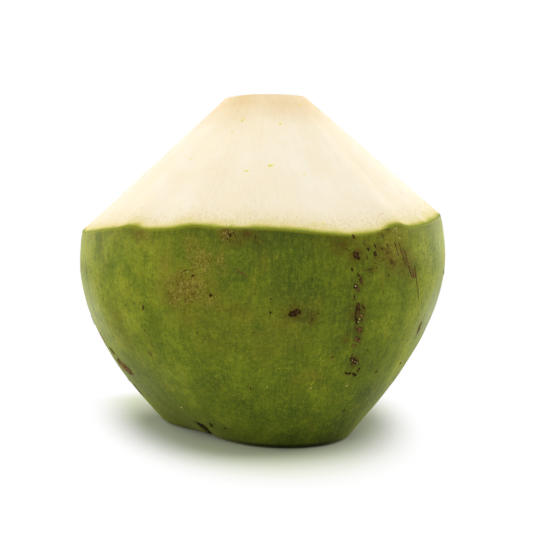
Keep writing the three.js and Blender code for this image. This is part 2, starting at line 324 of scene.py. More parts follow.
class CoconutSurface(bpy.types.PropertyGroup):
    """Fineness and relief of the nut's surface."""

    columns: whole("Columns", "Points round the nut", 600, 60, 620)
    skin_rows: whole("Skin Rows", "Rings of the skin", 98, 15, 104)
    husk_rows: whole("Husk Rows", "Rings of the husk", 42, 4, 44)
    swelling: length("Swelling", "Depth of the skin's broad swells", 0.45)
    rib_depth: length("Rib Depth", "Depth of the lengthwise ribs of the skin", 0.16)
    fibre_depth: length("Fibre Depth", "Depth of the husk's lengthwise fibres", 0.10)
    husk_shrink: length("Husk Shrink", "How far the dried husk lies behind the rind", 0.08)
    stroke_hollow: length("Stroke Hollow", "Depth of a paring stroke between its edges", 0.15)
    rind: length("Rind", "Width of the cut edge of the rind", 1.35)
    seed: whole("Seed", "Changes every random pattern", 11, 0)


class CoconutColours(bpy.types.PropertyGroup):
    """Colours of the nut."""

    skin: colour("Skin", "Green of most of the skin", 110, 125, 33)
    gold: colour("Gold", "Yellow green of the ripest skin", 167, 171, 53)
    deep: colour("Deep", "Dark green of the youngest skin", 74, 91, 33)
    olive: colour("Olive", "Brownish green of weathered skin", 134, 122, 36)
    bloom: colour("Bloom", "Pale bloom of the skin, seen at its edges", 220, 222, 80)
    scurf: colour("Scurf", "Tan of the russet scurf", 180, 166, 78)
    umber: colour("Umber", "Brown stain of the skin", 92, 62, 26)
    husk: colour("Husk", "Cream of the bare husk", 253, 239, 211)
    pale_husk: colour("Pale Husk", "Palest part of the husk", 255, 245, 225)
    tan_husk: colour("Tan Husk", "Dried husk near the tip", 240, 212, 162)
    fibre: colour("Fibre", "Tan of the husk's cut fibres", 214, 182, 128)
    thread: colour("Thread", "Long fibres that lie along the husk", 250, 234, 203)
    rind: colour("Rind", "Yellow green of the cut rind", 174, 171, 24)
    peel: colour("Peel", "Yellow of thin bits of rind", 254, 247, 128)
    young_husk: colour("Young Husk", "Husk next to the rind", 228, 213, 132)
    # Painted shade: this darkest green is laid on the skin's lowest millimetres, for the shade where the skin
    # meets the floor.
    foot: colour("Foot", "Darkest green, where the skin meets the floor", 33, 40, 24)
    scar: colour("Scar", "Dark edge of a corky mark", 49, 33, 10)
    cork: colour("Cork", "Pale middle of a corky mark", 142, 108, 60)


class CoconutMarks(bpy.types.PropertyGroup):
    """Fibres, bits of rind and marks of the skin."""

    fibres: number("Fibres", "Fibres of the husk per square metre", 45000)
    fibre_length: length("Fibre Length", "Longest fibre of the husk", 11)
    fibre_width: length("Fibre Width", "Widest fibre of the husk", 0.2)
    fibre_ends: number("Fibre Ends", "Cut fibre ends per square metre near the rim", 260000)
    scurf: number("Scurf", "Flakes of scurf per square metre", 3000000)
    scurf_length: length("Scurf Length", "Longest flake of scurf", 2.2)
    specks: number("Specks", "Specks of the skin per square metre", 14000)
    scar_height: length("Scar Height", "How far a corky mark stands out", 0.2)


class CoconutStage(bpy.types.PropertyGroup):
    """Camera, lamps and floor."""

    camera_distance: length("Camera Distance", "From the nut's axis to the lens", 469.05)
    camera_height: length("Camera Height", "Of the lens above the floor", 96)
    camera_side: length("Camera Side", "How far the lens stands to the right", 1.65)
    camera_dip: FloatProperty(
        name="Camera Dip", description="How far the lens looks down", default=math.radians(3.4), subtype="ANGLE"
    )
    lens: FloatProperty(
        name="Lens", description="Focal length in millimetres", default=75.5, min=1, unit="CAMERA"
    )
    # Painted bounce light: the floor's green-yellow tint stands for green light thrown back from the skin into
    # its shade.
    floor: colour("Floor", "Colour of the floor under the nut", 240, 245, 220)
    shade_width: length("Shade Width", "How far the floor's shade reaches to either side", 53.7)
    shade_front: length("Shade Front", "How far the floor's shade reaches to the front of its middle", 121)
    shade_rear: length("Shade Rear", "How far the floor's shade reaches behind its middle", 32)
    shade_left: length("Shade Left", "How far left of the nut's axis the shade has its middle", 8.2)
    shade_back: length("Shade Back", "How far behind the nut's axis the shade has its middle", 60)
    shade_slant: FloatProperty(
        name="Shade Slant", description="How far the shade slants to the right", default=0.11
    )
    overhead: lamp("Overhead", "Overhead lamp", 8.55)
    left: lamp("Left", "Lamp on the left", 3.26)
    right: lamp("Right", "Lamp on the right", 2.9)
    front: lamp("Front", "Lamp in front", 3.35)
    left_rim: lamp("Left Rim", "Lamp on the left, behind the nut", 2.65)
    right_rim: lamp("Right Rim", "Lamp on the right, behind the nut", 5.3)


# =========================== the nut's shape ===========================


def smooth_through(knots, place):
    """Smooth curve through (place, value) knots; the slope at a knot comes from its neighbours."""
    at, value = np.array(knots, float).T
    before = np.r_[0, 0:len(at) - 1]
    after = np.r_[1:len(at), len(at) - 1]
    slope = (value[after] - value[before]) / (at[after] - at[before])
    place = np.asarray(place, float)
    i = np.clip(np.searchsorted(at, place) - 1, 0, len(at) - 2)
    span = at[i + 1] - at[i]
    t = (place - at[i]) / span
    from_values = (1 + 2 * t) * (1 - t) ** 2 * value[i] + t * t * (3 - 2 * t) * value[i + 1]
    from_slopes = t * (1 - t) ** 2 * slope[i] + t * t * (t - 1) * slope[i + 1]
    return from_values + from_slopes * span


def fade(value, start, run):
    """0 up to the start, rising evenly to 1 over the run; a run below 0 rises the other way."""
    return np.clip((value - start) / run, 0, 1)


def across_from(angle, middle_angle):
    """Signed angle from middle_angle, between -180 and 180 degrees."""
    return (np.asarray(angle, float) - middle_angle + 180) % 360 - 180


def rim_height(angle):
    """Height of the rim, where the paring strokes leave the skin."""
    knots = [(at + turn, height) for turn in (-360, 0, 360) for at, height in RIM]
    return smooth_through(knots, angle)


def swell(wave, angle):
    """How far a wave round the foot swells out at an angle."""
    count, height, peak = wave
    return height * np.cos(count * np.radians(angle - peak))


def foot_share(height):
    """1 at the foot, falling smoothly to 0 where the section is round."""
    return np.maximum(1 - height / FOOT_BLEND_HEIGHT, 0) ** 2


def crease_depth(angle, height):
    """How far the short crease left of the front draws the skin in."""
    fading = np.sqrt(np.maximum(1 - height / CREASE_HEIGHT, 0))
    return CREASE_DEPTH * np.exp(-((across_from(angle, CREASE_ANGLE) / CREASE_WIDTH) ** 2)) * fading


def around(radius, angle, height):
    """Points at a radius and an angle from the middle of the section at a height."""
    radius, angle, height = np.broadcast_arrays(radius, angle, np.asarray(height, float))
    share = foot_share(height)
    turn = np.radians(angle)
    x = LEAN * height + FOOT_SHIFT[0] * share + radius * np.cos(turn)
    y = FOOT_SHIFT[1] * share + radius * np.sin(turn)
    return np.stack([x, y, height], axis=-1)


def skin_point(angle, height):
    """Points of the green skin."""
    height = np.asarray(height, float)
    corners = foot_share(height) * (swell(FOOT_CORNERS, angle) + swell(FOOT_OVAL, angle))
    radius = smooth_through(BODY_PROFILE, height) + corners - crease_depth(angle, height)
    return around(radius, angle, height)


def husk_point(angle, share):
    """Points of the pared husk, from the rim, share 0, to the tip's edge, share 1."""
    rim = skin_point(angle, rim_height(angle))
    droop = TIP_DROOP * np.maximum(-np.cos(np.radians(angle)), 0) ** 2
    tip = around(TIP_RADIUS, angle, HEIGHT - droop)
    return rim + (tip - rim) * np.asarray(share, float)[..., None]


def cone_point(angle, height):
    """Points of the pared husk at a height."""
    rim = rim_height(angle)
    return husk_point(angle, (height - rim) / (HEIGHT - rim))


def frame_offset():
    """Moves the nut's own axis to where the packed solid stands, in millimetres."""
    angles = np.arange(-180, 180, 3.0)
    levels = np.linspace(0, 1, 16)
    outline = np.concatenate([skin_point(angles, level * rim_height(angles)) for level in levels])
    middle = (outline.min(0) + outline.max(0)) / 2
    solid_middle = (NUT_LOW + NUT_HIGH) / 2 / MM
    return np.array([solid_middle.x - middle[0], solid_middle.y - middle[1], NUT_LOW.z / MM])


OFFSET = frame_offset()
FOOT_MIDDLE = around(0, 0, 0.0)
TIP_MIDDLE = around(0, 0, HEIGHT)


def to_frame(points):
    """Millimetres from the nut's own axis to metres in the frame."""
    return (np.asarray(points) + OFFSET) * MM


def zone_share(zones, angle, height):
    """The strength at each place of the soft oval zone that covers it most."""
    share = np.zeros(np.broadcast(angle, height).shape)
    for middle_angle, middle_height, half_width, half_height, strength in zones:
        across = BODY_RADIUS * np.radians(across_from(angle, middle_angle)) / half_width
        up = (height - middle_height) / half_height
        share = np.maximum(share, strength * np.exp(-(across**2 + up**2)))
    return share


def stroke_hollow(angle, share, depth):
    """How far the middle of each paring stroke lies inside the round cone."""
    closed = [STROKE_EDGES[-1] - 360, *STROKE_EDGES, STROKE_EDGES[0] + 360]
    hollow = np.zeros_like(angle)
    for start, end in zip(closed, closed[1:]):
        t = np.clip((angle - start) / (end - start), 0, 1)
        hollow += np.where((angle >= start) & (angle < end), 4 * t * (1 - t), 0)
    return depth * hollow * fade(share, 0, STROKE_START) * (1 - STROKE_FLATTENING * share)


# =========================== trees of nodes ===========================


VALUE = "NodeSocketFloat"
VECTOR = "NodeSocketVector"
WHOLE = "NodeSocketInt"
SHAPE = "NodeSocketGeometry"
OBJECT = "NodeSocketObject"
MATERIAL = "NodeSocketMaterial"
WORDS = "NodeSocketString"


class Wiring:
    """Adds nodes to a tree and links them, one call for each node."""

    def __init__(self, tree):
        self.tree = tree

    def feed(self, socket, value):
        """Links an output to a socket, or gives the socket a plain value."""
        if isinstance(value, bpy.types.NodeSocket):
            self.tree.links.new(value, socket)
        else:
            socket.default_value = value

    def node(self, kind, feeds=None, **settings):
        """A node with its settings, and its inputs fed by name or number."""
        node = self.tree.nodes.new(kind)
        for name, value in settings.items():
            setattr(node, name, value)
        for key, value in (feeds or {}).items():
            self.feed(node.inputs[key], value)
        return node

    def math(self, operation, *operands, clamp=False):
        feeds = dict(enumerate(operands))
        return self.node("ShaderNodeMath", feeds, operation=operation, use_clamp=clamp).outputs[0]

    def times(self, first, *others, clamp=False):
        for other in others:
            first = self.math("MULTIPLY", first, other, clamp=clamp)
        return first

    def plus(self, first, second, clamp=False):
        return self.math("ADD", first, second, clamp=clamp)

    def minus(self, first, second):
        return self.math("SUBTRACT", first, second)

    def over(self, first, second):
        return self.math("DIVIDE", first, second)

    def larger(self, first, second):
        return self.math("MAXIMUM", first, second)

    def vector(self, operation, *operands, output=0):
        feeds = dict(enumerate(operands))
        return self.node("ShaderNodeVectorMath", feeds, operation=operation).outputs[output]

    def scaled(self, vector, scale):
        feeds = {"Vector": vector, "Scale": scale}
        return self.node("ShaderNodeVectorMath", feeds, operation="SCALE").outputs[0]

    def combine(self, parts):
        """A vector from its parts, given by number."""
        return self.node("ShaderNodeCombineXYZ", parts).outputs[0]

    def split(self, vector):
        return self.node("ShaderNodeSeparateXYZ", {0: vector}).outputs

    def ramp(self, value, low, high):
        """Smooth step of a value, from 0 at low to 1 at high."""
        feeds = {"Value": value, "From Min": low, "From Max": high}
        return self.node("ShaderNodeMapRange", feeds, interpolation_type="SMOOTHSTEP").outputs["Result"]

    def noise(self, vector, scale, seed, detail=2.0, roughness=0.5, output="Fac"):
        feeds = {"Vector": vector, "W": seed, "Scale": scale, "Detail": detail, "Roughness": roughness}
        return self.node("ShaderNodeTexNoise", feeds, noise_dimensions="4D").outputs[output]

    def mix(self, share, first, second):
        """Colour between two colours."""
        node = self.node("ShaderNodeMix", {"Factor": share}, data_type="RGBA")
        for socket in node.inputs:
            if socket.type == "RGBA":
                self.feed(socket, first if socket.name == "A" else second)
        return node.outputs[2]

    def named(self, name, data_type="FLOAT"):
        """What a mesh stores under a name, for geometry nodes."""
        found = self.node("GeometryNodeInputNamedAttribute", {"Name": name}, data_type=data_type)
        return found.outputs["Attribute"]

    def seen(self):
        """1 for what the camera sees, also by way of gloss or glass, and 0 for light on other things."""
        path = self.node("ShaderNodeLightPath").outputs
        by_gloss_or_glass = self.larger(path["Is Glossy Ray"], path["Is Transmission Ray"])
        return self.larger(path["Is Camera Ray"], by_gloss_or_glass)


def new_tree(kind, name, inputs, outputs):
    """An empty node group with its sockets: its wiring, its inputs' outputs and its outputs' inputs."""
    tree = bpy.data.node_groups.new(name, kind)
    for label, (socket_type, default) in inputs.items():
        socket = tree.interface.new_socket(label, in_out="INPUT", socket_type=socket_type)
        if default is not None:
            socket.default_value = default
    for label, socket_type in outputs.items():
        tree.interface.new_socket(label, in_out="OUTPUT", socket_type=socket_type)
    entry = tree.nodes.new("NodeGroupInput").outputs
    leave = tree.nodes.new("NodeGroupOutput").inputs
    return Wiring(tree), entry, leave


# ---- shader groups that several finishes share ----


def streaks_group():
    """Streaks that run along the nut's own grain."""
    inputs = {"Grain": (VECTOR, None), "Width": (VALUE, MM), "Length": (VALUE, 20 * MM), "Seed": (VALUE, 0.0)}
    w, given, out = new_tree("ShaderNodeTree", "streaks_group", inputs, {"Streaks": VALUE})
    across = w.over(1.0, given["Width"])
    scale = w.combine({0: across, 1: across, 2: w.over(1.0, given["Length"])})
    place = w.vector("MULTIPLY", given["Grain"], scale)
    w.feed(out["Streaks"], w.noise(place, 1.0, given["Seed"], detail=3.0, roughness=0.6))
    return w.tree


def noise_group(name, outputs, detail, roughness, more=None):
    """A shader group that starts from noise of a given size: its noise, wiring, inputs and outputs."""
    inputs = {"Place": (VECTOR, None), "Size": (VALUE, MM), **(more or {}), "Seed": (VALUE, 0.0)}
    w, given, out = new_tree("ShaderNodeTree", name, inputs, dict.fromkeys(outputs, VALUE))
    noise = w.noise(given["Place"], w.over(1.0, given["Size"]), given["Seed"], detail, roughness)
    return noise, w, given, out


def blotches_group():
    """Soft-edged blotches of one size."""
    limits = {"From": (VALUE, 0.4), "To": (VALUE, 0.6)}
    noise, w, given, out = noise_group("blotches_group", ["Mask"], 4.0, 0.6, limits)
    w.feed(out["Mask"], w.ramp(noise, given["From"], given["To"]))
    return w.tree


def mottle_group():
    """Uneven tone at every size from the given one down, centred on a half."""
    noise, w, _, out = noise_group("mottle_group", ["Tone"], 7.0, 0.68)
    w.feed(out["Tone"], noise)
    return w.tree


def speckle_group():
    """Fine dark and light flecks."""
    noise, w, _, out = noise_group("speckle_group", ["Dark", "Light"], 2.0, 0.75)
    w.feed(out["Dark"], w.ramp(noise, 0.48, 0.30))
    w.feed(out["Light"], w.ramp(noise, 0.52, 0.70))
    return w.tree


def netting_group():
    """Fine curly lines that cross each other, as scurf grows."""
    noise, w, given, out = noise_group("netting_group", ["Mask"], 2.0, 0.7, {"Line": (VALUE, 0.06)})
    off_middle = w.math("ABSOLUTE", w.minus(noise, 0.5))
    w.feed(out["Mask"], w.ramp(off_middle, given["Line"], 0.0))
    return w.tree


def rind_edge_group():
    """Cut edge of the rind: green at the skin, fading into the husk over an uneven width."""
    inputs = {
        "From Edge": (VALUE, 0.0), "Place": (VECTOR, None), "Width": (VALUE, 1.7 * MM), "Seed": (VALUE, 0.0),
    }
    parts = {"Rind": (2.2, 0.9), "Outer Rind": (1.25, 0.45), "Young Husk": (5.0, 1.0)}
    w, given, out = new_tree("ShaderNodeTree", "rind_edge_group", inputs, dict.fromkeys(parts, VALUE))
    uneven = w.noise(given["Place"], 1 / (6 * MM), given["Seed"], detail=3.0)
    fine = w.noise(given["Place"], 1 / (0.8 * MM), given["Seed"])
    width = w.times(given["Width"], w.plus(0.2, w.times(uneven, 1.6)))
    frayed = w.plus(w.over(given["From Edge"], width), w.times(fine, 0.8))
    for part, (gone, full) in parts.items():
        w.feed(out[part], w.ramp(frayed, gone, full))
    return w.tree


def shared(build):
    """One of the shared shader groups, built the first time it is asked for."""
    return bpy.data.node_groups.get(build.__name__) or build()


# =========================== finishes ===========================


def rgba(value):
    return (*value, 1.0)


class Finish(Wiring):
    """A material with a Principled shader; colours are laid over its base colour one by one.

    Sizes, widths and lengths of its patterns are in millimetres.
    """

    def __init__(self, name, base, roughness, ior):
        self.material = bpy.data.materials.new(name)
        self.material.use_nodes = True
        super().__init__(self.material.node_tree)
        self.shader = self.tree.nodes["Principled BSDF"]
        self.set_shader({"Roughness": roughness, "IOR": ior})
        self.place = self.node("ShaderNodeTexCoord").outputs["Object"]
        self.base = rgba(base)

    def set_shader(self, values):
        for name, value in values.items():
            self.feed(self.shader.inputs[name], value)

    def attribute(self, name, output="Fac"):
        return self.node("ShaderNodeAttribute", attribute_name=name).outputs[output]

    def group(self, build, feeds, output=0):
        return self.node("ShaderNodeGroup", feeds, node_tree=shared(build)).outputs[output]

    def pattern(self, build, size, seed, output=0, **more):
        return self.group(build, {"Place": self.place, "Size": size * MM, "Seed": seed, **more}, output)

    def streaks(self, width, length, seed):
        grain = self.attribute("grain", "Vector")
        feeds = {"Grain": grain, "Width": width * MM, "Length": length * MM, "Seed": seed}
        return self.group(streaks_group, feeds)

    def blotches(self, size, low, high, seed):
        return self.pattern(blotches_group, size, seed, From=low, To=high)

    def mottle(self, size, seed):
        return self.pattern(mottle_group, size, seed)

    def netting(self, size, line, seed):
        return self.pattern(netting_group, size, seed, Line=line)

    def rind_edge(self, part, width):
        feeds = {"From Edge": self.attribute("from_rim"), "Place": self.place, "Width": width, "Seed": 4.0}
        return self.group(rind_edge_group, feeds, part)

    def cover(self, tint, *shares):
        """Lays a colour over the colour so far, as strongly as the product of the shares."""
        self.base = self.mix(self.times(*shares), self.base, rgba(tint))

    def bump(self, height, distance, strength):
        feeds = {"Height": height, "Distance": distance * MM, "Strength": strength}
        self.set_shader({"Normal": self.node("ShaderNodeBump", feeds).outputs["Normal"]})

    def done(self):
        self.set_shader({"Base Color": self.base})
        return self.material


def skin_finish(colours):
    """Waxy green skin: mottled green and gold, finely flecked, with russet scurf and brown stains."""
    f = Finish("green_skin", colours.deep, roughness=0.40, ior=1.115)
    f.set_shader({"Sheen Weight": 0.45, "Sheen Roughness": 0.30, "Sheen Tint": rgba(colours.bloom)})
    scurf = f.attribute("scurf")
    from_rim = f.attribute("from_rim")
    above_floor = f.split(f.place)[2]
    # The gold and deep zones shift the tone: partly the skin's own ripeness, partly painted light on the flanks
    # and painted shade near the floor.
    ripe_lit_and_shaded = f.times(f.minus(f.attribute("gold"), f.attribute("deep")), 0.25)
    tone = f.plus(f.mottle(16, 1.0), ripe_lit_and_shaded)
    f.cover(colours.skin, f.ramp(tone, 0.24, 0.58))
    f.cover(colours.gold, f.ramp(tone, 0.48, 0.84))
    weathered = f.plus(f.mottle(9, 2.0), f.times(scurf, 0.1))
    f.cover(colours.olive, f.ramp(weathered, 0.50, 0.74), 0.5)
    weave = f.mottle(1.6, 8.0)
    f.cover(colours.deep, f.ramp(weave, 0.51, 0.32), 0.65)
    f.cover(colours.gold, f.ramp(weave, 0.50, 0.68), 0.42)
    fine = f.streaks(0.55, 8, 2.0)
    f.cover(colours.deep, f.ramp(fine, 0.50, 0.34), 0.34)
    f.cover(colours.gold, f.ramp(fine, 0.52, 0.68), 0.18)
    f.cover(colours.deep, f.pattern(speckle_group, 0.6, 3.0, "Dark"), 0.6)
    f.cover(colours.bloom, f.pattern(speckle_group, 0.6, 3.0, "Light"), 0.14)
    f.cover(colours.umber, f.ramp(from_rim, -8 * MM, -0.5 * MM), 0.15)
    # The rind's yellow green runs onto the skin's last 0.9 mm below the rim: partly the cut rind's own colour,
    # partly a painted highlight along the rim.
    f.cover(colours.rind, f.ramp(from_rim, -0.9 * MM, -0.1 * MM), 0.45)
    russet = f.times(f.blotches(3, 0.28, 0.56, 7.0), scurf)
    f.cover(colours.olive, russet, 0.9)
    f.cover(colours.scurf, f.netting(1.4, 0.05, 4.0), russet)
    f.cover(colours.umber, f.netting(1.1, 0.04, 5.0), russet, 0.7)
    f.cover(colours.umber, f.attribute("haze"), f.blotches(2.6, 0.30, 0.56, 6.0), 0.9)
    # Painted shade: the skin darkens toward the foot colour near the floor, fully in its lowest 2.6 mm, for the
    # shade where it meets the floor.
    f.cover(colours.foot, f.ramp(above_floor, 14 * MM, 2 * MM), 0.3)
    f.cover(colours.foot, f.ramp(above_floor, 2.6 * MM, 1.3 * MM))
    f.set_shader({"Roughness": f.plus(0.36, f.times(f.plus(fine, scurf), 0.14)), "Coat Roughness": 0.35})
    # A coat of wax shows where the widest part of the skin turns away.
    facing = f.node("ShaderNodeLayerWeight", {"Blend": 0.5}).outputs["Facing"]
    waxy = f.times(f.ramp(above_floor, 72 * MM, 54 * MM), f.ramp(above_floor, 34 * MM, 52 * MM), 0.6)
    f.set_shader({"Coat Weight": f.times(f.ramp(facing, 0.55, 0.85), waxy)})
    f.bump(f.plus(f.times(fine, 0.5), f.mottle(0.8, 9.0)), 0.15, 0.7)
    return f.done()


def husk_finish(colours, rind_width):
    """Bare husk: cream, with faint fibres down the cone, green at the rind and tan towards the tip."""
    f = Finish("cut_husk", colours.husk, roughness=0.62, ior=1.3)
    from_rim = f.attribute("from_rim")
    tan = f.attribute("tan")
    tone = f.plus(f.mottle(14, 1.0), f.times(f.attribute("pale"), 0.15))
    broad, fine = f.streaks(1.6, 40, 2.0), f.streaks(0.5, 8, 3.0)
    f.cover(colours.pale_husk, f.ramp(tone, 0.34, 0.72))
    near_tip = f.times(f.ramp(from_rim, 54 * MM, 74 * MM), 0.6)
    dried = f.times(f.plus(near_tip, tan), f.plus(0.4, f.mottle(3, 6.0)))
    f.cover(colours.tan_husk, dried)
    f.cover(colours.fibre, f.ramp(broad, 0.5, 0.75), 0.07)
    f.cover(colours.rind, f.ramp(f.streaks(0.7, 3, 6.0), 0.52, 0.64), tan, 0.5)
    f.cover(colours.fibre, f.ramp(fine, 0.50, 0.72), f.plus(0.08, f.times(dried, 0.4)))
    near_rim = f.ramp(from_rim, 14 * MM, 1 * MM)
    f.cover(colours.young_husk, near_rim, 0.3)
    f.cover(colours.fibre, f.ramp(f.streaks(0.5, 1.3, 5.0), 0.52, 0.66), near_rim, 0.75)
    f.cover(colours.young_husk, f.rind_edge("Young Husk", rind_width), 0.9)
    f.cover(colours.rind, f.rind_edge("Rind", rind_width))
    f.cover(colours.skin, f.rind_edge("Outer Rind", rind_width))
    f.set_shader({"Roughness": f.plus(0.5, f.times(fine, 0.3))})
    f.bump(f.plus(fine, f.times(broad, 0.6)), 0.1, 0.25)
    return f.done()


def cut_end_finish(colours, rind_width):
    """Husk cut square across its fibres: each fibre shows as a small tan ring."""
    f = Finish("cut_end", colours.husk, roughness=0.75, ior=1.3)
    f.cover(colours.tan_husk, f.mottle(6, 1.0))
    cells = f.node("ShaderNodeTexVoronoi", {"Vector": f.place, "Scale": 1 / (1.3 * MM)}).outputs["Distance"]
    f.cover(colours.fibre, f.ramp(cells, 0.34, 0.12), f.blotches(2.5, 0.35, 0.6, 2.0), 0.75)
    f.cover(colours.fibre, f.blotches(4, 0.5, 0.7, 3.0), 0.35)
    f.cover(colours.rind, f.rind_edge("Rind", rind_width))
    f.bump(f.plus(cells, f.netting(0.6, 0.1, 5.0)), 0.2, 0.7)
    return f.done()


def bit_finish(name, edge, middle, roughness):
    """A small bit that lies on the nut: one colour at its edge, another in its middle, by its paleness."""
    f = Finish(name, edge, roughness=roughness, ior=1.15)
    uneven = f.times(f.minus(f.mottle(0.9, 1.0), 0.5), 1.6)
    inner = f.ramp(f.attribute("lift"), 0.35, 0.85)
    f.cover(middle, f.times(inner, f.plus(f.attribute("paleness"), uneven), clamp=True))
    f.bump(f.netting(0.4, 0.12, 2.0), 0.1, 0.6)
    return f.done()


def strand_finish(name, dark, light):
    """A strand or flake: each has its own tone between two colours."""
    f = Finish(name, dark, roughness=0.6, ior=1.15)
    uneven = f.minus(f.blotches(3, 0.3, 0.7, 1.0), 0.5)
    f.cover(light, f.plus(f.attribute("paleness"), uneven, clamp=True))
    return f.done()


def floor_finish(stage):
    """Pale floor: it keeps the nut's shade in an oval round it, and turns plain white away from that."""
    material = bpy.data.materials.new("studio_floor")
    material.use_nodes = True
    w = Wiring(material.node_tree)
    w.tree.nodes.remove(w.tree.nodes["Principled BSDF"])
    place = w.node("ShaderNodeTexCoord").outputs["Object"]
    middle = (-stage.shade_left, stage.shade_back, NUT_LOW.z)
    across, behind, _ = w.split(w.vector("SUBTRACT", place, middle))
    across = w.over(w.plus(across, w.times(behind, stage.shade_slant)), stage.shade_width)
    reach = w.larger(w.over(behind, -stage.shade_front), w.over(behind, stage.shade_rear))
    away = w.vector("LENGTH", w.combine({0: across, 1: reach}), output=1)
    share = w.times(w.ramp(away, 0.92, 1.40), w.seen())
    # The matt floor's green-yellow tint is painted bounce light from the skin; it shows only inside the oval.
    matt = w.node("ShaderNodeBsdfDiffuse", {"Color": rgba(stage.floor)}).outputs[0]
    white = w.node("ShaderNodeEmission", {"Color": (1, 1, 1, 1), "Strength": 1.0}).outputs[0]
    shown = w.node("ShaderNodeMixShader", {0: share, 1: matt, 2: white}).outputs[0]
    w.feed(w.tree.nodes["Material Output"].inputs["Surface"], shown)
    return material


# =========================== the nut ===========================


Ring = namedtuple("Ring", "points region from_rim along")
REGIONS = {"foot": 2, "skin": 0, "husk": 1, "tip": 2}  # which finish the faces below each ring have


def link(obj):
    """Puts an object in the scene."""
    bpy.context.scene.collection.objects.link(obj)
    return obj


def made_plain(obj):
    """Replaces an object's mesh and modifiers by the plain mesh that they make."""
    depsgraph = bpy.context.evaluated_depsgraph_get()
    evaluated = obj.evaluated_get(depsgraph)
    mesh = bpy.data.meshes.new_from_object(evaluated, preserve_all_data_layers=True, depsgraph=depsgraph)
    obj.modifiers.clear()
    draft = obj.data
    obj.data = mesh
    bpy.data.meshes.remove(draft)
    mesh.name = obj.name


def add_tree(obj, tree, values):
    """Puts a tree on an object as a modifier, with its inputs given by name."""
    modifier = obj.modifiers.new(tree.name, "NODES")
    modifier.node_group = tree
    for item in tree.interface.items_tree:
        if item.in_out == "INPUT" and item.name in values:
            modifier[item.identifier] = values[item.name]


def store(mesh, name, values, kind="FLOAT", domain="POINT"):
    """Stores an array as an attribute of the mesh."""
    field = "vector" if kind == "FLOAT_VECTOR" else "value"
    attribute = mesh.attributes.get(name) or mesh.attributes.new(name, kind, domain)
    attribute.data.foreach_set(field, np.ravel(values))


def drawn_in(points, middle, distance):
    """The points moved toward a middle by a distance."""
    return points + (middle - points) * (distance / np.linalg.norm(points - middle, axis=1))[:, None]


def nut_rings(angles, surface):
    """The nut's rings from foot to tip, with what each point knows of the rim and of the grain."""
    rim = rim_height(angles)
    level = np.ones_like(angles)
    distance, height = FOOT_ROUNDING[0]
    foot_edge = drawn_in(skin_point(angles, height * level), FOOT_MIDDLE, distance)
    rings = []
    for share in np.linspace(0, 1, FOOT_RINGS + 1)[1:]:
        points = FOOT_MIDDLE + (foot_edge - FOOT_MIDDLE) * share
        inward = np.linalg.norm(foot_edge - points, axis=1)
        rings.append(Ring(points, "foot", inward + UNDERSIDE_EDGE, 0 * level))
    for distance, height in FOOT_ROUNDING[1:]:
        heights = height * level
        points = drawn_in(skin_point(angles, heights), around(0, 0, height), distance)
        rings.append(Ring(points, "skin", heights - rim, heights))
    for share in np.linspace(0, 1, surface.skin_rows + 1):
        heights = FOOT_ROUNDING_TOP * (1 - share) + rim * share
        rings.append(Ring(skin_point(angles, heights), "skin", heights - rim, heights))
    slant = np.linalg.norm(husk_point(angles, level) - husk_point(angles, 0 * level), axis=1)
    near_rim = np.array(NEAR_RIM_ROWS) / slant.mean()
    for share in [*near_rim, *np.linspace(near_rim[-1], 1, surface.husk_rows + 1)[1:]]:
        points = husk_point(angles, share * level)
        hollow = stroke_hollow(angles, share * level, surface.stroke_hollow / MM)
        points[:, 0] -= hollow * np.cos(np.radians(angles))
        points[:, 1] -= hollow * np.sin(np.radians(angles))
        rings.append(Ring(points, "husk", share * slant, rim + share * slant))
    tip_edge = rings[-1].points
    for share in np.linspace(1, 0, TIP_RINGS + 2)[1:-1]:
        points = TIP_MIDDLE + (tip_edge - TIP_MIDDLE) * share
        rings.append(Ring(points, "tip", BEYOND_HUSK * level, rim + slant))
    return rings


def nut_mesh(surface):
    """Closed mesh of the nut, with its grain, its regions and the soft zones of its skin."""
    angles = np.linspace(-180, 180, surface.columns, endpoint=False)
    rings = nut_rings(angles, surface)
    columns = len(angles)
    points = np.concatenate([[FOOT_MIDDLE], *[ring.points for ring in rings], [TIP_MIDDLE]])
    column = np.arange(columns)
    beside = (column + 1) % columns
    top = len(points) - 1
    last = top - columns
    faces = np.stack([0 * column, 1 + beside, 1 + column], axis=1).tolist()
    regions = [REGIONS["foot"]] * columns
    for ring, above in enumerate(rings[1:]):
        low = 1 + ring * columns
        high = low + columns
        faces += np.stack([low + column, low + beside, high + beside, high + column], axis=1).tolist()
        regions += [REGIONS[above.region]] * columns
    faces += np.stack([0 * column + top, last + column, last + beside], axis=1).tolist()
    regions += [REGIONS["tip"]] * columns
    mesh = bpy.data.meshes.new(NUT_PIECE)
    mesh.from_pydata(to_frame(points).tolist(), [], faces)
    mesh.shade_smooth()
    mark_sharp_rings(mesh, rings, columns)
    store(mesh, "region", regions, "INT", "FACE")
    store_places(mesh, angles, rings)
    return mesh


def mark_sharp_rings(mesh, rings, columns):
    """The rim and the edges of the tip and the foot are crisp."""
    crisp = [i for i, (ring, above) in enumerate(zip(rings, rings[1:])) if ring.region != above.region]
    ends = np.empty(len(mesh.edges) * 2, int)
    mesh.edges.foreach_get("vertices", ends)
    low, high = ((ends.reshape(-1, 2) - 1) // columns).T
    store(mesh, "sharp_edge", (low == high) & np.isin(low, crisp), "BOOLEAN", "EDGE")


